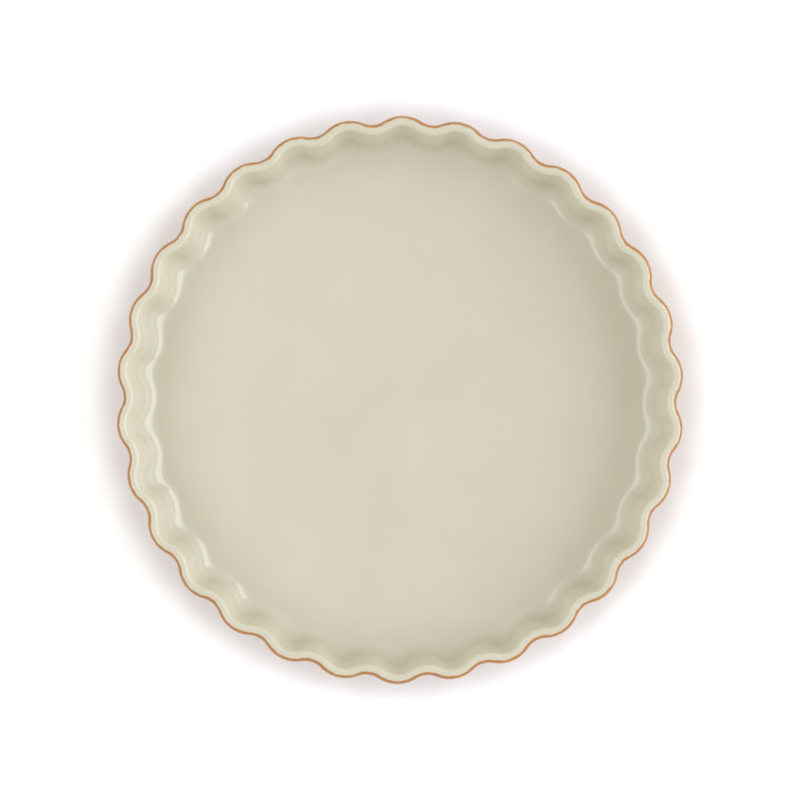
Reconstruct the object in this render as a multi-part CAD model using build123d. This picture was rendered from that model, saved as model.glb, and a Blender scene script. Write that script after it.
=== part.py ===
from build123d import *
import math
import os

# Overall size
rim_diameter = 284.0
overall_height = 38.0

# Flutes
flute_count = 30
rim_flute_depth = 3.9
base_flute_depth = 3.4
floor_flute_depth = 2.6
crest_share = 0.6

# Fired stoneware wall and floor
wall_thickness = 4.5
floor_thickness = 5.0
wall_draft = 9.0
base_rounding = 4.5

# Roundings of the glazed rim as shares of its thickness, and the cove round the floor
rim_outer_share = 0.52
rim_inner_share = 0.37
floor_cove = 9.0

# Foot ring, unglazed, set in from the edge of the flat underside
foot_height = 1.6
foot_setback = 7.0
foot_width = 5.0
foot_edge_rounding = 0.5

# Fused glaze and the line where its two colours meet on the rim shoulder
glaze_thickness = 0.45
parting_elevation = 46.0

# Number of even steps along each profile and along each half arc of a flute
arc_steps = 2
outside_steps = 60
inside_steps = 66

# Height difference within which an edge counts as level
level_share = 0.01

# Values that follow from the sizes above
level_tolerance = glaze_thickness * level_share
rim_radius = rim_diameter / 2
half_flute = math.pi / flute_count
lean = math.radians(wall_draft)
skin_depth = wall_thickness + 2 * glaze_thickness
rim_outer_rounding = skin_depth * rim_outer_share
rim_inner_rounding = skin_depth * rim_inner_share
crown_height = overall_height - rim_outer_rounding
clay_floor = foot_height + floor_thickness
base_height = foot_height + base_rounding
parting_angle = math.pi - math.radians(parting_elevation)
straight_up = math.pi / 2
outer_lean = math.pi + lean


def turned(x, y, turn, height):
    """Point x, y turned about the vertical axis and set at a height."""
    along = x * math.cos(turn) - y * math.sin(turn)
    across = x * math.sin(turn) + y * math.cos(turn)
    return (along, across, height)


def arc_radius_sum(crest, valley, share):
    """Sum of the crest and valley arc radii that makes the two arcs tangent."""
    reach = math.cos(half_flute)
    square = -2 * share * (1 - share) * (1 - reach)
    linear = 2 * (valley * (1 - share + reach * share) - crest * (share + reach * (1 - share)))
    constant = crest**2 + valley**2 - 2 * reach * crest * valley
    return (-linear - math.sqrt(linear**2 - 4 * square * constant)) / (2 * square)


def fluted_outline(crest, depth, share, inset, height):
    """Closed outline of tangent crest and valley arcs, moved inward by inset."""
    valley = crest - depth
    total = arc_radius_sum(crest, valley, share)
    crest_centre = crest - share * total
    valley_centre = valley + (1 - share) * total
    crest_arc = share * total - inset
    valley_arc = total - share * total + inset
    along = valley_centre * math.cos(half_flute) - crest_centre
    across = valley_centre * math.sin(half_flute)
    crest_bend = math.atan2(across, along)
    valley_bend = crest_bend - half_flute
    points = []
    for step in range(-2 * arc_steps, 2 * arc_steps + 1):
        side = -1 if step < 0 else 1
        crest_step_share = min(abs(step) / arc_steps, 1)
        valley_step_share = 2 - max(abs(step) / arc_steps, 1)
        if abs(step) <= arc_steps:
            bend = side * crest_bend * crest_step_share
            points.append((crest_centre + crest_arc * math.cos(bend), crest_arc * math.sin(bend)))
        else:
            bend = math.pi + half_flute + valley_bend * valley_step_share
            x = valley_centre * math.cos(half_flute) + valley_arc * math.cos(bend)
            y = valley_centre * math.sin(half_flute) + valley_arc * math.sin(bend)
            points.append((x, side * y))
    slope_x = math.sin(half_flute)
    slope_y = math.cos(half_flute)
    edges = []
    for flute in range(flute_count):
        turn = 2 * half_flute * flute
        through = [turned(x, y, turn, height) for x, y in points]
        ends = [turned(slope_x, slope_y, turn, 0), turned(-slope_x, slope_y, turn, 0)]
        edges.append(Edge.make_spline(through, ends, parameters=range(len(through))))
    return Wire(edges)


def wall_inset(height, setback):
    """Plan distance from the widest rim line to a leaning plane inside the outer skin."""
    sideways = rim_outer_rounding + (setback - rim_outer_rounding) / math.cos(lean)
    return sideways + (crown_height - height) * math.tan(lean)


def base_inset():
    """Plan distance from the widest rim line to the edge of the flat underside."""
    return wall_inset(base_height, glaze_thickness + base_rounding)


def foot_radius():
    """Outer radius of the foot ring."""
    return rim_radius - base_inset() - base_flute_depth - foot_setback


def arc_point(arc, part):
    """Point of an arc and the direction of the surface normal there."""
    inset, height, radius, first, last = arc
    facing = first + (last - first) * part
    return (inset + radius * math.cos(facing), height + radius * math.sin(facing), facing)


def cove_point(arc, part):
    """Point of a hollow arc, whose normal points at the arc's centre."""
    inset, height, radius, first, last = arc
    facing = first + (last - first) * part
    return (inset - radius * math.cos(facing), height - radius * math.sin(facing), facing)


def straight_point(line, part):
    """Point of a straight stretch between two arcs that share its normal."""
    start, end = line
    inset = start[0] + (end[0] - start[0]) * part
    height = start[1] + (end[1] - start[1]) * part
    return (inset, height, start[2])


def arc_length(arc):
    """Length of an arc given by inset, height, radius, first and last direction."""
    return arc[2] * abs(arc[4] - arc[3])


def straight_length(line):
    """Length of a straight stretch between two stations."""
    start, end = line
    return math.hypot(end[0] - start[0], end[1] - start[1])


def even_stations(stretches, steps):
    """Stations at even distances along a row of profile stretches."""
    total = sum(length for point, shape, length in stretches)
    stations = []
    for step in range(steps + 1):
        left = total * step / steps
        for point, shape, length in stretches:
            if left <= length or shape is stretches[-1][1]:
                break
            left = left - length
        stations.append(point(shape, min(left / length, 1)))
    return stations


def outside_profile():
    """Clay profile from the underside, round the base and up to the colour line."""
    base = (base_inset(), base_height, base_rounding, 3 * straight_up, outer_lean)
    shoulder_radius = rim_outer_rounding - glaze_thickness
    shoulder = (rim_outer_rounding, crown_height, shoulder_radius, outer_lean, parting_angle)
    wall = (arc_point(base, 1), arc_point(shoulder, 0))
    stretches = [
        (arc_point, base, arc_length(base)),
        (straight_point, wall, straight_length(wall)),
        (arc_point, shoulder, arc_length(shoulder)),
    ]
    return even_stations(stretches, outside_steps)


def inside_profile():
    """Clay profile from the colour line over the rim and down to the floor."""
    shoulder_radius = rim_outer_rounding - glaze_thickness
    shoulder = (rim_outer_rounding, crown_height, shoulder_radius, parting_angle, straight_up)
    lip_height = overall_height - rim_inner_rounding
    lip_inset = wall_inset(lip_height, skin_depth - rim_inner_rounding)
    lip_radius = rim_inner_rounding - glaze_thickness
    lip = (lip_inset, lip_height, lip_radius, straight_up, lean)
    cove_radius = floor_cove + glaze_thickness
    cove_height = clay_floor + cove_radius
    cove_inset = wall_inset(cove_height, skin_depth + floor_cove)
    cove = (cove_inset, cove_height, cove_radius, lean, straight_up)
    crown = (arc_point(shoulder, 1), arc_point(lip, 0))
    wall = (arc_point(lip, 1), cove_point(cove, 0))
    stretches = [
        (arc_point, shoulder, arc_length(shoulder)),
        (straight_point, crown, straight_length(crown)),
        (arc_point, lip, arc_length(lip)),
        (straight_point, wall, straight_length(wall)),
        (cove_point, cove, arc_length(cove)),
    ]
    return even_stations(stretches, inside_steps)


def outside_outlines(grow):
    """Outlines of the outside, moved outward by grow along the surface normal."""
    outlines = []
    for step, (inset, height, facing) in enumerate(outside_profile()):
        rise_share = step / outside_steps
        depth = base_flute_depth + (rim_flute_depth - base_flute_depth) * rise_share
        sideways = grow * math.cos(facing)
        level = height + grow * math.sin(facing)
        outlines.append(fluted_outline(rim_radius - inset, depth, crest_share, sideways, level))
    return outlines


def inside_outlines(grow):
    """Outlines of the rim and the inside, moved outward by grow along the normal."""
    total = arc_radius_sum(rim_radius, rim_radius - rim_flute_depth, crest_share)
    wall_top_inset = wall_inset(crown_height, skin_depth)
    outlines = []
    for step, (inset, height, facing) in enumerate(inside_profile()):
        fade_share = (step / inside_steps) ** 2
        depth = rim_flute_depth + (floor_flute_depth - rim_flute_depth) * fade_share
        share = crest_share - min(inset, wall_top_inset) / total
        sideways = grow * math.cos(facing)
        level = height + grow * math.sin(facing)
        outlines.append(fluted_outline(rim_radius - inset, depth, share, sideways, level))
    return outlines


def skin(outlines):
    """Smooth open skin through a row of outlines."""
    return Shell.make_loft(outlines, ruled=False)


def open_ends(surface):
    """The two closed edges of a skin, lower one first."""
    level = [edge for edge in surface.edges() if edge.bounding_box().size.Z < level_tolerance]
    level.sort(key=lambda edge: edge.center().Z)
    return Wire(level[:flute_count]), Wire(level[-flute_count:])


def band(first, second):
    """Narrow straight band between two closed edges."""
    return Shell.make_loft([first, second], ruled=True)


def circle(radius, height):
    """Level circle about the dish's axis."""
    return Wire(Edge.make_circle(radius, Plane((0, 0, height))))


def closed_solid(surfaces):
    """Solid enclosed by skins and faces that meet edge to edge."""
    faces = []
    for surface in surfaces:
        faces.extend(surface.faces())
    return Solid(Shell(faces))


def stoneware_body():
    """Fired clay dish on its bare foot ring."""
    tread = Rectangle(foot_width, foot_height, align=(Align.MAX, Align.MIN))
    tread = Pos(foot_radius(), 0) * tread
    tread = fillet(tread.vertices().group_by(Axis.Y)[0], foot_edge_rounding)
    ring_faces = revolve(Plane.XZ * tread, Axis.Z).faces().sort_by(Axis.Z)
    root = ring_faces.pop()
    underside = Face(clay_base_edge, [root.outer_wire()])
    hub = Face(root.inner_wires()[0])
    floor = Face(clay_floor_edge)
    return closed_solid([clay_outside, clay_line, clay_inside, underside, hub, floor, *ring_faces])


def interior_glaze():
    """Glaze over the floor, the inner wall and the top of the rim."""
    seat = Face(clay_floor_edge)
    floor = Face(glazed_floor_edge)
    return closed_solid([clay_inside, clay_line, glazed_inside, glazed_line, parting, seat, floor])


def exterior_glaze():
    """Glaze from the colour line down the outer wall to the outside of the foot ring."""
    seat_edge = circle(foot_radius(), foot_height)
    face_edge = circle(foot_radius(), foot_height - glaze_thickness)
    collar = band(seat_edge, face_edge)
    seat = Face(clay_base_edge, [seat_edge])
    underside = Face(glazed_base_edge, [face_edge])
    return closed_solid([clay_outside, glazed_outside, parting, collar, seat, underside])


def base_glaze():
    """Glaze on the underside within the foot ring."""
    radius = foot_radius() - foot_width
    lowered = (Align.CENTER, Align.CENTER, Align.MAX)
    return Pos(0, 0, foot_height) * Cylinder(radius, glaze_thickness, align=lowered)


# Skins of the clay and of the glaze, below and above the colour line
clay_outside = skin(outside_outlines(0))
glazed_outside = skin(outside_outlines(glaze_thickness))
clay_inside = skin(inside_outlines(0)[1:])
glazed_inside = skin(inside_outlines(glaze_thickness)[1:])

# Narrow bands that close the skins at the colour line
clay_base_edge, clay_lower_line = open_ends(clay_outside)
clay_floor_edge, clay_upper_line = open_ends(clay_inside)
glazed_base_edge, glazed_lower_line = open_ends(glazed_outside)
glazed_floor_edge, glazed_upper_line = open_ends(glazed_inside)
clay_line = band(clay_lower_line, clay_upper_line)
glazed_line = band(glazed_lower_line, glazed_upper_line)
parting = band(clay_lower_line, glazed_lower_line)

nodes = {
    "stoneware_body": stoneware_body(),
    "interior_glaze": interior_glaze(),
    "exterior_glaze": exterior_glaze(),
    "base_glaze": base_glaze(),
}

os.makedirs("parts", exist_ok=True)
for name, solid in nodes.items():
    export_step(solid, "parts/" + name + ".step")
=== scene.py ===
import math

import bpy
import numpy as np
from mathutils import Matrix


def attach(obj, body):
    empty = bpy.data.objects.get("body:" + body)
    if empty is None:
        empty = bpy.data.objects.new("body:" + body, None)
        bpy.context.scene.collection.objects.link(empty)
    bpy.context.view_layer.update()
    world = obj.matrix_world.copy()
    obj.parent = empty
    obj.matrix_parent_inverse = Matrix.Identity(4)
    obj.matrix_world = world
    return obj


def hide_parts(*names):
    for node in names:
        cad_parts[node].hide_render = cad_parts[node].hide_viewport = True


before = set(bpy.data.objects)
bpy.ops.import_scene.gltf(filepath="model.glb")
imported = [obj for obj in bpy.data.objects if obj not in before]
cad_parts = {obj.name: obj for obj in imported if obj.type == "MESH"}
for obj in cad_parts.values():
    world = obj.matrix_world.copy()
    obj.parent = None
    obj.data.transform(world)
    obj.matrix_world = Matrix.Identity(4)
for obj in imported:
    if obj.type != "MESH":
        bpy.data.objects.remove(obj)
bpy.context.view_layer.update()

# Lengths in this script are in millimetres until the vertices are written
METRE = 0.001

# Rim, flutes, wall and foot. As in the solids, but for the cove, which is wider here,
# and the flutes' depth inside, which are set to where the photograph has its highlights
RIM_RADIUS = 142.0
RIM_HEIGHT = 38.0
FLUTES = 30
RIM_FLUTE_DEPTH = 3.9
BASE_FLUTE_DEPTH = 3.4
WALL_FOOT_FLUTE_DEPTH = 4.4
FLOOR_FLUTE_DEPTH = 1.0
FLUTE_FADE = 1.3
CREST_SHARE = 0.6
FOOT_HEIGHT = 1.6
CLAY_FLOOR = 6.6
BASE_ROUNDING = 4.5
SKIN_DEPTH = 5.4
OUTER_ROUNDING = 0.52 * SKIN_DEPTH
INNER_ROUNDING = 0.37 * SKIN_DEPTH
FLOOR_COVE = 11.0
GLAZE = 0.45
FOOT_SETBACK = 7.0
HALF_FLUTE = math.pi / FLUTES
LEAN = math.radians(9)
UP = math.pi / 2
PARTING_ELEVATION = math.radians(46)
PARTING_DROP = 0.16
PARTING_WANDER = (0.022, 0.018)
OUTER_LEAN = math.pi + LEAN
CROWN_HEIGHT = RIM_HEIGHT - OUTER_ROUNDING

# Mesh columns for each half arc of a flute
ARC_COLUMNS = 8
COLUMNS = 4 * ARC_COLUMNS * FLUTES

# The photograph's crests lie this far round from the model's
ROLL = math.radians(-5.44)


def arc_radius_sum(crest, valley, share):
    """Sum of the crest and valley arc radii that makes the two arcs tangent."""
    reach = math.cos(HALF_FLUTE)
    square = -2 * share * (1 - share) * (1 - reach)
    linear = 2 * (valley * (1 - share + reach * share) - crest * (share + reach * (1 - share)))
    constant = crest**2 + valley**2 - 2 * reach * crest * valley
    return (-linear - np.sqrt(linear**2 - 4 * square * constant)) / (2 * square)


def column_steps():
    """For each column its flute's angle, its side, and its place on the crest or valley arc."""
    step = np.arange(-2 * ARC_COLUMNS, 2 * ARC_COLUMNS)
    turn = np.repeat(2 * HALF_FLUTE * np.arange(FLUTES), 4 * ARC_COLUMNS)
    step = np.tile(step, FLUTES)
    return turn, step


TURN, STEP = column_steps()


def outline(crest, depth, share, inset):
    """Plan points and outward directions of a fluted outline, moved inward by inset."""
    valley = crest - depth
    total = arc_radius_sum(crest, valley, share)
    crest_centre = crest - share * total
    valley_centre = valley + (1 - share) * total
    crest_arc = share * total - inset
    valley_arc = (1 - share) * total + inset
    along = valley_centre * math.cos(HALF_FLUTE)
    across = valley_centre * math.sin(HALF_FLUTE)
    crest_bend = np.arctan2(across, along - crest_centre)
    side = np.where(STEP < 0, -1, 1)
    part = np.abs(STEP) / ARC_COLUMNS
    on_crest = part <= 1
    bend = crest_bend * np.minimum(part, 1)
    hollow = math.pi + HALF_FLUTE + (crest_bend - HALF_FLUTE) * (2 - np.maximum(part, 1))
    x = np.where(on_crest, crest_centre + crest_arc * np.cos(bend), along + valley_arc * np.cos(hollow))
    y = np.where(on_crest, crest_arc * np.sin(bend), across + valley_arc * np.sin(hollow))
    out_x = np.where(on_crest, np.cos(bend), -np.cos(hollow))
    out_y = np.where(on_crest, np.sin(bend), -np.sin(hollow))
    return turned(x, side * y), turned(out_x, side * out_y)


def turned(x, y):
    """Points of the first flute's sector turned to every column's own flute."""
    return np.stack([x * np.cos(TURN) - y * np.sin(TURN), x * np.sin(TURN) + y * np.cos(TURN)], axis=1)


def wall_inset(height, setback):
    """Plan distance from the widest rim line to a leaning plane inside the outer skin."""
    sideways = OUTER_ROUNDING + (setback - OUTER_ROUNDING) / math.cos(LEAN)
    return sideways + (CROWN_HEIGHT - height) * math.tan(LEAN)


def waves(x, y, z, size, seed, count=7):
    """Smooth irregular field between about -1 and 1 whose bumps are about size across."""
    draw = np.random.default_rng(seed)
    total = np.zeros_like(x)
    for number in range(count):
        direction = draw.normal(size=3)
        direction = direction / np.linalg.norm(direction)
        length = size * draw.uniform(0.75, 1.6)
        phase = draw.uniform(0, 2 * math.pi)
        run = x * direction[0] + y * direction[1] + z * direction[2]
        total = total + np.sin(run * math.pi / length + phase)
    return total / math.sqrt(count * 2)


def parting_facing():
    """Direction of the surface normal where the two glazes meet, column by column."""
    angle = TURN + STEP / (2 * ARC_COLUMNS) * HALF_FLUTE
    x = RIM_RADIUS * np.cos(angle)
    y = RIM_RADIUS * np.sin(angle)
    broad, fine = PARTING_WANDER
    wander = waves(x, y, 0 * x, 26, 11) * broad + waves(x, y, 0 * x, 6, 12) * fine
    below = np.clip(np.cos(angle - ROLL + UP), 0, 1) ** 3
    return math.pi - PARTING_ELEVATION - wander - PARTING_DROP * below


PARTING = parting_facing()


def spread(first, last, steps, skip=0):
    """Even shares of a stretch as columns of values from first to last."""
    return [first + (last - first) * step / steps for step in range(skip, steps + 1)]


def round_stations(inset, height, radius, first, last, steps, skip=0, hollow=False):
    """Stations along an arc of the profile: inset, height and facing for each column."""
    sign = -1 if hollow else 1
    stations = []
    for facing in spread(first, last, steps, skip):
        facing = facing + np.zeros(COLUMNS)
        inward = inset + sign * radius * np.cos(facing)
        upward = height + sign * radius * np.sin(facing)
        stations.append((inward, upward, facing))
    return stations


def straight_stations(start, end, steps):
    """Stations between the last of one arc and the first of the next, both left out."""
    stations = []
    for part in spread(0, 1, steps, 1)[:-1]:
        stations.append(tuple(a + (b - a) * part for a, b in zip(start, end)))
    return stations


def outside_stations(fine):
    """Clay profile from the flat underside, round the base and up to the colour line."""
    base_height = FOOT_HEIGHT + BASE_ROUNDING
    base_inset = wall_inset(base_height, GLAZE + BASE_ROUNDING)
    base = round_stations(base_inset, base_height, BASE_ROUNDING, 3 * UP, OUTER_LEAN, 3 * fine)
    shoulder_radius = OUTER_ROUNDING - GLAZE
    shoulder = round_stations(OUTER_ROUNDING, CROWN_HEIGHT, shoulder_radius, OUTER_LEAN, PARTING, 3 * fine)
    wall = straight_stations(base[-1], shoulder[0], 8 * fine)
    return base + wall + shoulder


def inside_stations(fine):
    """Clay profile from the colour line over the rim and down to the edge of the floor."""
    shoulder_radius = OUTER_ROUNDING - GLAZE
    shoulder = round_stations(OUTER_ROUNDING, CROWN_HEIGHT, shoulder_radius, PARTING, UP, 3 * fine)
    lip_height = RIM_HEIGHT - INNER_ROUNDING
    lip_inset = wall_inset(lip_height, SKIN_DEPTH - INNER_ROUNDING)
    lip = round_stations(lip_inset, lip_height, INNER_ROUNDING - GLAZE, UP, LEAN, 4 * fine)
    cove_radius = FLOOR_COVE + GLAZE
    cove_height = CLAY_FLOOR + cove_radius
    cove_inset = wall_inset(cove_height, SKIN_DEPTH + FLOOR_COVE)
    cove = round_stations(cove_inset, cove_height, cove_radius, LEAN, UP, 6 * fine, 0, True)
    crown = straight_stations(shoulder[-1], lip[0], fine)
    wall = straight_stations(lip[-1], cove[0], 7 * fine)
    return shoulder + crown + lip + wall + cove


def lengths_along(stations):
    """Length of the profile from its first station to each, taken over all columns."""
    inset = np.array([s[0].mean() for s in stations])
    height = np.array([s[1].mean() for s in stations])
    return np.concatenate([[0], np.cumsum(np.hypot(np.diff(inset), np.diff(height)))])


def inside_depth(at, cove_start):
    """Flute depth of the inside, which grows down the wall and fades round the cove."""
    grown = min(at / cove_start, 1)
    faded = max((at - cove_start) / (1 - cove_start), 0)
    deepest = RIM_FLUTE_DEPTH + (WALL_FOOT_FLUTE_DEPTH - RIM_FLUTE_DEPTH) * grown * (2 - grown)
    return deepest + (FLOOR_FLUTE_DEPTH - WALL_FOOT_FLUTE_DEPTH) * faded**FLUTE_FADE


def skin_rings(stations, outside, grow):
    """Rings of points through the stations, moved outward by grow, with the glaze's unevenness."""
    run = lengths_along(stations)
    part = run / run[-1]
    rim_total = arc_radius_sum(RIM_RADIUS, RIM_RADIUS - RIM_FLUTE_DEPTH, CREST_SHARE)
    deepest = wall_inset(CROWN_HEIGHT, SKIN_DEPTH)
    rings = []
    for (inset, height, facing), at in zip(stations, part):
        if outside:
            depth = BASE_FLUTE_DEPTH + (RIM_FLUTE_DEPTH - BASE_FLUTE_DEPTH) * at
            above = np.clip((height - CROWN_HEIGHT) / (OUTER_ROUNDING - GLAZE), 0, 1)
            share = CREST_SHARE - inset / rim_total * above
        else:
            depth = inside_depth(at, 1 - (FLOOR_COVE + GLAZE) * (UP - LEAN) / run[-1])
            share = CREST_SHARE - np.minimum(inset, deepest) / rim_total
        plan, outward = outline(RIM_RADIUS - inset, depth, share, grow * np.cos(facing))
        level = height + grow * np.sin(facing)
        if grow:
            dip = unevenness(plan[:, 0], plan[:, 1], level)
            plan = plan + outward * (dip * np.cos(facing))[:, None]
            level = level - dip * np.sin(facing)
        rings.append(np.column_stack([plan, level]))
    return rings


# Mean depth of the dips in the fired glaze, and how much broad and fine waves change it
DIP = 0.075
BROAD_DIP = 0.035
FINE_DIP = 0.012


def unevenness(x, y, z):
    """How far the fired glaze lies under its nominal surface, never above it."""
    broad = waves(x, y, z, 46, 3)
    fine = waves(x, y, z, 13, 4)
    return np.clip(DIP + BROAD_DIP * broad + FINE_DIP * fine, 0, None)


class Skin:
    """Vertices and faces of one closed piece, with named values for each vertex."""

    def __init__(self):
        self.points = []
        self.values = []
        self.faces = []
        self.sharp = []

    def ring(self, points, gap, relief):
        first = len(self.points)
        self.points.extend(map(tuple, points))
        self.values.extend(zip(gap + np.zeros(len(points)), relief + np.zeros(len(points))))
        return list(range(first, first + len(points)))

    def bridge(self, lower, upper, flip=False):
        count = len(lower)
        for here in range(count):
            after = (here + 1) % count
            face = (lower[here], lower[after], upper[after], upper[here])
            self.faces.append(face[::-1] if flip else face)

    def halve(self, wide, narrow, flip=False):
        count = len(narrow)
        for here in range(count):
            after = (here + 1) % count
            start = wide[2 * here]
            middle = wide[2 * here + 1]
            end = wide[(2 * here + 2) % len(wide)]
            fans = [
                (start, middle, narrow[here]),
                (middle, narrow[after], narrow[here]),
                (middle, end, narrow[after]),
            ]
            self.faces.extend(face[::-1] if flip else face for face in fans)

    def fan(self, edge, centre, flip=False):
        count = len(edge)
        for here in range(count):
            face = (edge[here], edge[(here + 1) % count], centre)
            self.faces.append(face[::-1] if flip else face)

    def crease(self, edge):
        self.sharp.extend(zip(edge, edge[1:] + edge[:1]))

    def build(self, name):
        mesh = bpy.data.meshes.new(name)
        mesh.from_pydata([tuple(METRE * c for c in p) for p in self.points], [], self.faces)
        mesh.validate()
        for place, label in enumerate(("line_gap", "relief")):
            layer = mesh.attributes.new(label, "FLOAT", "POINT")
            layer.data.foreach_set("value", [v[place] for v in self.values])
        mesh.polygons.foreach_set("use_smooth", [True] * len(mesh.polygons))
        wanted = {tuple(sorted(pair)) for pair in self.sharp}
        for edge in mesh.edges:
            if tuple(sorted(edge.vertices)) in wanted:
                edge.use_edge_sharp = True
        piece = bpy.data.objects.new(name, mesh)
        bpy.context.collection.objects.link(piece)
        return piece


def crest_relief():
    """1 on the crest lines, -1 on the valley lines, smooth between."""
    return np.cos(STEP / (2 * ARC_COLUMNS) * math.pi)


# Floor rings as shares of the floor's edge, those with half the columns of the one before,
# and the share of the way in over which the fluted edge turns round
OUTER_RING_SHARES = (0.992, 0.98, 0.965, 0.945, 0.92, 0.885, 0.84, 0.78)
RING_SHARES = OUTER_RING_SHARES + (0.7, 0.6, 0.49, 0.38, 0.27, 0.17, 0.09, 0.04)
HALVED_SHARES = {0.945, 0.84, 0.6, 0.27, 0.09}
ROUNDING_SHARE = 0.3


def add_floor(skin, edge, flip, uneven, gap):
    """Closes a fluted edge with rings that turn round and halve towards the centre."""
    rim = np.array([skin.points[i] for i in edge])
    plan = rim[:, :2]
    level = rim[:, 2].mean()
    mean_radius = np.hypot(plan[:, 0], plan[:, 1]).mean()
    angle = np.arctan2(plan[:, 1], plan[:, 0])
    circle = mean_radius * np.stack([np.cos(angle), np.sin(angle)], axis=1)
    last = edge
    for share in RING_SHARES:
        roundness = min((1 - share) / ROUNDING_SHARE, 1)
        around = share * (plan + (circle - plan) * roundness)
        if share in HALVED_SHARES:
            around = around[::2]
            plan = plan[::2]
            circle = circle[::2]
        height = level + np.zeros(len(around))
        if uneven:
            height = CLAY_FLOOR + GLAZE - unevenness(around[:, 0], around[:, 1], height)
        ring = skin.ring(np.column_stack([around, height]), gap, 0)
        if len(ring) == len(last):
            skin.bridge(last, ring, flip)
        else:
            skin.halve(last, ring, flip)
        last = ring
    centre = np.zeros((1, 3))
    centre[0, 2] = np.mean([skin.points[i][2] for i in last])
    skin.fan(last, skin.ring(centre, gap, 0)[0], flip)


def add_rings(skin, rings, gaps):
    """Adds a row of rings without faces, and returns their vertices."""
    relief = crest_relief()
    return [skin.ring(points, gap, relief) for points, gap in zip(rings, gaps)]


def glaze_inside():
    """Glaze over the rim, the inner wall and the floor, down to the clay under it."""
    skin = Skin()
    fine = inside_stations(4)
    run = lengths_along(fine)
    face = add_rings(skin, skin_rings(fine, False, GLAZE), run)
    for lower, upper in zip(face, face[1:]):
        skin.bridge(lower, upper)
    add_floor(skin, face[-1], False, True, run[-1])
    coarse = inside_stations(1)
    seat = add_rings(skin, skin_rings(coarse, False, 0), lengths_along(coarse))
    for lower, upper in zip(seat, seat[1:]):
        skin.bridge(lower, upper, True)
    add_floor(skin, seat[-1], True, False, run[-1])
    skin.bridge(seat[0], face[0])
    skin.crease(face[0])
    skin.crease(seat[0])
    return skin.build("glaze_inside")


def glaze_outside():
    """Glaze from the foot ring round the base and up the outer wall to the colour line."""
    skin = Skin()
    foot = RIM_RADIUS - wall_inset(FOOT_HEIGHT + BASE_ROUNDING, GLAZE + BASE_ROUNDING)
    foot = foot - BASE_FLUTE_DEPTH - FOOT_SETBACK
    fine = outside_stations(4)
    run = lengths_along(fine)
    face = add_rings(skin, skin_rings(fine, True, GLAZE), run[-1] - run)
    for lower, upper in zip(face, face[1:]):
        skin.bridge(lower, upper)
    coarse = outside_stations(1)
    short = lengths_along(coarse)
    seat = add_rings(skin, skin_rings(coarse, True, 0), short[-1] - short)
    for lower, upper in zip(seat, seat[1:]):
        skin.bridge(lower, upper, True)
    skin.bridge(face[-1], seat[-1])
    collar = []
    for edge, level in ((face[0], FOOT_HEIGHT - GLAZE), (seat[0], FOOT_HEIGHT)):
        rim = np.array([skin.points[i] for i in edge])
        angle = np.arctan2(rim[:, 1], rim[:, 0])
        ring = foot * np.stack([np.cos(angle), np.sin(angle)], axis=1)
        middle = (ring + rim[:, :2]) / 2
        flat = np.full(len(angle), level)
        half_way = skin.ring(np.column_stack([middle, flat]), run[-1], 0)
        inner = skin.ring(np.column_stack([ring, flat]), run[-1], 0)
        collar.append((half_way, inner))
    for (half_way, inner), edge, flip in zip(collar, (face[0], seat[0]), (False, True)):
        skin.bridge(half_way, edge, flip)
        skin.bridge(inner, half_way, flip)
    skin.bridge(collar[1][1], collar[0][1])
    for edge in (face[-1], seat[-1], collar[0][1], collar[1][1]):
        skin.crease(edge)
    return skin.build("glaze_outside")


class Nodes:
    """Short calls for making a material's nodes and joining them."""

    def __init__(self, name):
        self.material = bpy.data.materials.new(name)
        self.material.use_nodes = True
        self.tree = self.material.node_tree
        self.shader = self.tree.nodes["Principled BSDF"]
        self.place = self.add("ShaderNodeTexCoord").outputs["Object"]

    def add(self, kind, **settings):
        made = self.tree.nodes.new(kind)
        for key, value in settings.items():
            setattr(made, key, value)
        return made

    def join(self, start, end):
        self.tree.links.new(start, end)

    def noise(self, scale, detail=2.0, rough=0.5, distort=0.0):
        made = self.add("ShaderNodeTexNoise")
        made.inputs["Scale"].default_value = scale
        made.inputs["Detail"].default_value = detail
        made.inputs["Roughness"].default_value = rough
        made.inputs["Distortion"].default_value = distort
        self.join(self.place, made.inputs["Vector"])
        return made.outputs["Fac"]

    def attribute(self, name):
        return self.add("ShaderNodeAttribute", attribute_name=name).outputs["Fac"]

    def remap(self, value, low, high, to_low=0.0, to_high=1.0, smooth=True):
        made = self.add("ShaderNodeMapRange", interpolation_type="SMOOTHSTEP" if smooth else "LINEAR")
        made.inputs["From Min"].default_value = low
        made.inputs["From Max"].default_value = high
        made.inputs["To Min"].default_value = to_low
        made.inputs["To Max"].default_value = to_high
        self.join(value, made.inputs["Value"])
        return made.outputs["Result"]

    def math(self, operation, first, second):
        made = self.add("ShaderNodeMath", operation=operation)
        for place, value in enumerate((first, second)):
            if isinstance(value, (int, float)):
                made.inputs[place].default_value = value
            else:
                self.join(value, made.inputs[place])
        return made.outputs["Value"]

    def mix(self, share, first, second):
        made = self.add("ShaderNodeMix", data_type="RGBA")
        self.join(share, made.inputs["Factor"])
        for place, value in ((6, first), (7, second)):
            if isinstance(value, tuple):
                made.inputs[place].default_value = (*value, 1)
            else:
                self.join(value, made.inputs[place])
        return made.outputs[2]

    def bump(self, height, distance, below=None):
        made = self.add("ShaderNodeBump")
        made.inputs["Strength"].default_value = 1.0
        made.inputs["Distance"].default_value = distance
        self.join(height, made.inputs["Height"])
        if below is not None:
            self.join(below, made.inputs["Normal"])
        return made.outputs["Normal"]

    def set(self, name, value):
        if isinstance(value, tuple):
            value = (*value, 1)
        if isinstance(value, (int, float, tuple)):
            self.shader.inputs[name].default_value = value
        else:
            self.join(value, self.shader.inputs[name])


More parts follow.
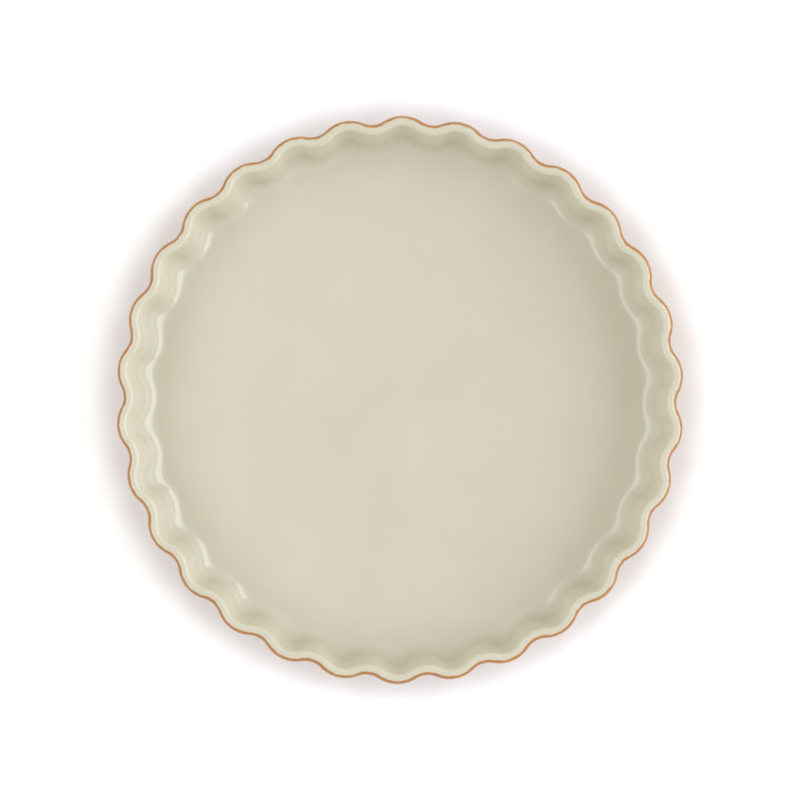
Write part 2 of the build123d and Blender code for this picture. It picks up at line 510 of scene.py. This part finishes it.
# Colours and gloss of the glazes and the clay
CREAM = ((0.69, 0.662, 0.538), (0.713, 0.685, 0.562))
CREAM_GRAIN = (0.6, 0.55, 0.42)
LINE = (0.47, 0.195, 0.02)
CARAMEL = ((0.52, 0.225, 0.045), (0.42, 0.165, 0.032))
IRON_SPECK = (0.2, 0.08, 0.03)
CLAY = ((0.53, 0.42, 0.29), (0.6, 0.5, 0.37))
CLAY_SPECK = (0.24, 0.15, 0.09)
GLAZE_IOR = 1.6


def cream_glaze():
    """Glossy greige glaze: faint clouding, a warm thin edge, soft orange peel."""
    n = Nodes("cream_glaze")
    cloud = n.remap(n.noise(22, 3, 0.55), 0.3, 0.7)
    tone = n.mix(cloud, *CREAM)
    grain = n.remap(n.noise(420, 2, 0.6), 0.68, 0.8, 0.0, 0.35)
    tone = n.mix(grain, tone, CREAM_GRAIN)
    gap = n.attribute("line_gap")
    edge = n.math("ADD", gap, n.remap(n.noise(260, 2), 0.2, 0.8, -0.25, 0.25))
    warmth = n.remap(edge, 0.3, 1.05, 1.0, 0.0)
    tone = n.mix(warmth, tone, LINE)
    n.set("Base Color", tone)
    n.set("Roughness", n.remap(n.noise(60, 4, 0.6), 0.25, 0.75, 0.09, 0.15))
    peel = n.bump(n.noise(520, 2, 0.5), 0.00001)
    n.set("Normal", n.bump(n.noise(75, 2, 0.5), 0.00008, peel))
    n.set("IOR", GLAZE_IOR)
    return n.material


def caramel_glaze():
    """Glossy caramel glaze: darker where it pools, paler where it thins, fine iron specks."""
    n = Nodes("caramel_glaze")
    relief = n.attribute("relief")
    cloud = n.noise(34, 4, 0.6, 0.4)
    pool = n.math("ADD", n.math("MULTIPLY", relief, -0.3), n.remap(cloud, 0.2, 0.8, -0.5, 0.5))
    tone = n.mix(n.remap(pool, -0.6, 0.6), *CARAMEL)
    speck = n.remap(n.noise(700, 3, 0.7), 0.66, 0.74, 0.0, 0.6)
    tone = n.mix(speck, tone, IRON_SPECK)
    gap = n.attribute("line_gap")
    edge = n.math("ADD", gap, n.remap(n.noise(300, 2), 0.2, 0.8, -0.2, 0.2))
    thin = n.remap(edge, 0.0, 0.7, 0.75, 0.0)
    tone = n.mix(thin, tone, LINE)
    n.set("Base Color", tone)
    n.set("Roughness", n.remap(n.noise(60, 4, 0.6), 0.25, 0.75, 0.1, 0.18))
    peel = n.bump(n.noise(480, 2, 0.5), 0.000012)
    n.set("Normal", n.bump(n.noise(70, 2, 0.5), 0.0001, peel))
    n.set("IOR", GLAZE_IOR)
    return n.material


def bare_clay():
    """Matt buff stoneware: sandy grain and iron specks."""
    n = Nodes("bare_clay")
    tone = n.mix(n.remap(n.noise(90, 5, 0.65), 0.3, 0.7), *CLAY)
    speck = n.remap(n.noise(900, 2, 0.5), 0.66, 0.72, 0.0, 0.7)
    tone = n.mix(speck, tone, CLAY_SPECK)
    n.set("Base Color", tone)
    n.set("Roughness", n.remap(n.noise(300, 3), 0.3, 0.7, 0.72, 0.9))
    n.set("Normal", n.bump(n.noise(1400, 3, 0.6), 0.00006))
    return n.material


inside = glaze_inside()
outside = glaze_outside()
cream = cream_glaze()
caramel = caramel_glaze()
clay = bare_clay()
for piece, node, material in ((inside, "interior_glaze", cream), (outside, "exterior_glaze", caramel)):
    piece.data.materials.append(material)
    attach(piece, "root")
    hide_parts(node)
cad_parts["stoneware_body"].material_slots[0].material = clay
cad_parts["base_glaze"].material_slots[0].material = caramel

# Camera straight above the dish
CAMERA_RISE = 1.5
FIELD = 0.3994
SENSOR = 36.0
camera_data = bpy.data.cameras.new("camera")
camera_data.sensor_width = SENSOR
camera_data.lens = SENSOR * CAMERA_RISE / FIELD
camera_data.clip_start = 0.05
camera_data.clip_end = 20
camera = bpy.data.objects.new("camera", camera_data)
camera.location = (0, 0, CAMERA_RISE + CROWN_HEIGHT * METRE)
camera.rotation_euler = (0, 0, ROLL)
bpy.context.collection.objects.link(camera)
scene = bpy.context.scene
scene.camera = camera
scene.view_settings.view_transform = "Standard"


def softbox(name, side, from_vertical, half_width, half_height, radiance):
    """Area lamp aimed at the dish; side is its bearing in the picture, 0 right and 90 up.

    The half sizes are shares of the lamp's distance.
    """
    lamp = bpy.data.lights.new(name, "AREA")
    lamp.shape = "RECTANGLE"
    lamp.size = 2 * half_width * LAMP_DISTANCE
    lamp.size_y = 2 * half_height * LAMP_DISTANCE
    lamp.energy = radiance * math.pi * lamp.size * lamp.size_y
    lamp.color = LAMP_COLOUR
    holder = bpy.data.objects.new(name, lamp)
    bearing = ROLL + math.radians(side)
    tilt = math.radians(from_vertical)
    across = LAMP_DISTANCE * math.sin(tilt)
    above = LAMP_DISTANCE * math.cos(tilt)
    holder.location = (across * math.cos(bearing), across * math.sin(bearing), above)
    holder.rotation_euler = (tilt, 0, bearing + UP)
    holder.visible_camera = False
    bpy.context.collection.objects.link(holder)


# Light: a window-like softbox on each side and a soft fill, brighter near the horizon
LAMP_DISTANCE = 4.0
LAMP_COLOUR = (0.955, 1.0, 1.1)
FILL_COLOUR = (1.08, 1.0, 0.82)
FILL = 0.42
HORIZON = 1.58
HORIZON_RISE = 0.165
FILL_RISE = 0.185
softbox("softbox_right", 3.5, 55.7, 0.58, 0.37, 2.42)
softbox("softbox_left", 180, 40.4, 0.62, 0.28, 1.76)


def shown_to_eye(nodes, links):
    """Share that is 1 for rays on which the background is seen, 0 for its light."""
    path = nodes.new("ShaderNodeLightPath")
    total = path.outputs["Is Camera Ray"]
    for name in ("Is Glossy Ray", "Is Transmission Ray"):
        more = nodes.new("ShaderNodeMath")
        more.operation = "MAXIMUM"
        links.new(total, more.inputs[0])
        links.new(path.outputs[name], more.inputs[1])
        total = more.outputs[0]
    return total


world = bpy.data.worlds.new("studio")
scene.world = world
world.use_nodes = True
nodes, links = world.node_tree.nodes, world.node_tree.links
nodes.clear()
seen = nodes.new("ShaderNodeBackground")
seen.inputs["Color"].default_value = (1, 1, 1, 1)
seen.inputs["Strength"].default_value = 1.0
way = nodes.new("ShaderNodeTexCoord")
parts = nodes.new("ShaderNodeSeparateXYZ")
rise = nodes.new("ShaderNodeMapRange")
rise.inputs["From Min"].default_value = HORIZON_RISE
rise.inputs["From Max"].default_value = FILL_RISE
rise.inputs["To Min"].default_value = HORIZON
rise.inputs["To Max"].default_value = FILL
fill = nodes.new("ShaderNodeBackground")
fill.inputs["Color"].default_value = (*FILL_COLOUR, 1)
choose = nodes.new("ShaderNodeMixShader")
result = nodes.new("ShaderNodeOutputWorld")
links.new(way.outputs["Generated"], parts.inputs[0])
links.new(parts.outputs["Z"], rise.inputs["Value"])
links.new(rise.outputs["Result"], fill.inputs["Strength"])
links.new(shown_to_eye(nodes, links), choose.inputs[0])
links.new(fill.outputs[0], choose.inputs[1])
links.new(seen.outputs[0], choose.inputs[2])
links.new(choose.outputs[0], result.inputs["Surface"])

# Floor: a wide pale disc on which the shadow falls. It glows only where it is seen, so that it is white,
# and less close to the dish, where ambient occlusion dims the glow into a soft halo of painted shadow
FLOOR_RADIUS = 5.0
FLOOR_DROP = 0.0001
FLOOR_GLOW = 0.45
# Glow right by the dish, and the occlusion reach and range that dim the glow there: painted shadow
PAINTED_SHADOW_GLOW = 0.125
PAINTED_SHADOW_REACH = 0.026
PAINTED_SHADOW_DARK_AO = 0.72
PAINTED_SHADOW_LIGHT_AO = 1.0
floor_mesh = bpy.data.meshes.new("studio_floor")
sides = 96
turns = [2 * math.pi * i / sides for i in range(sides)]
spots = [(FLOOR_RADIUS * math.cos(turn), FLOOR_RADIUS * math.sin(turn), -FLOOR_DROP) for turn in turns]
floor_mesh.from_pydata(spots, [], [tuple(range(sides))])
floor = bpy.data.objects.new("studio_floor", floor_mesh)
bpy.context.collection.objects.link(floor)
n = Nodes("floor_white_painted_shadow")
n.set("Base Color", (0.82, 0.86, 0.92))
n.set("Roughness", 0.9)
# Ambient occlusion lowers the glow next to the dish: a painted shadow, on top of the one the lamps cast
painted_shadow_occlusion = n.add("ShaderNodeAmbientOcclusion", samples=16)
painted_shadow_occlusion.inputs["Distance"].default_value = PAINTED_SHADOW_REACH
glow_and_painted_shadow = n.remap(painted_shadow_occlusion.outputs["AO"], PAINTED_SHADOW_DARK_AO, PAINTED_SHADOW_LIGHT_AO, PAINTED_SHADOW_GLOW, FLOOR_GLOW, smooth=False)
n.set("Emission Color", (1.0, 1.0, 1.0))
n.set("Emission Strength", n.math("MULTIPLY", shown_to_eye(n.tree.nodes, n.tree.links), glow_and_painted_shadow))
floor_mesh.materials.append(n.material)
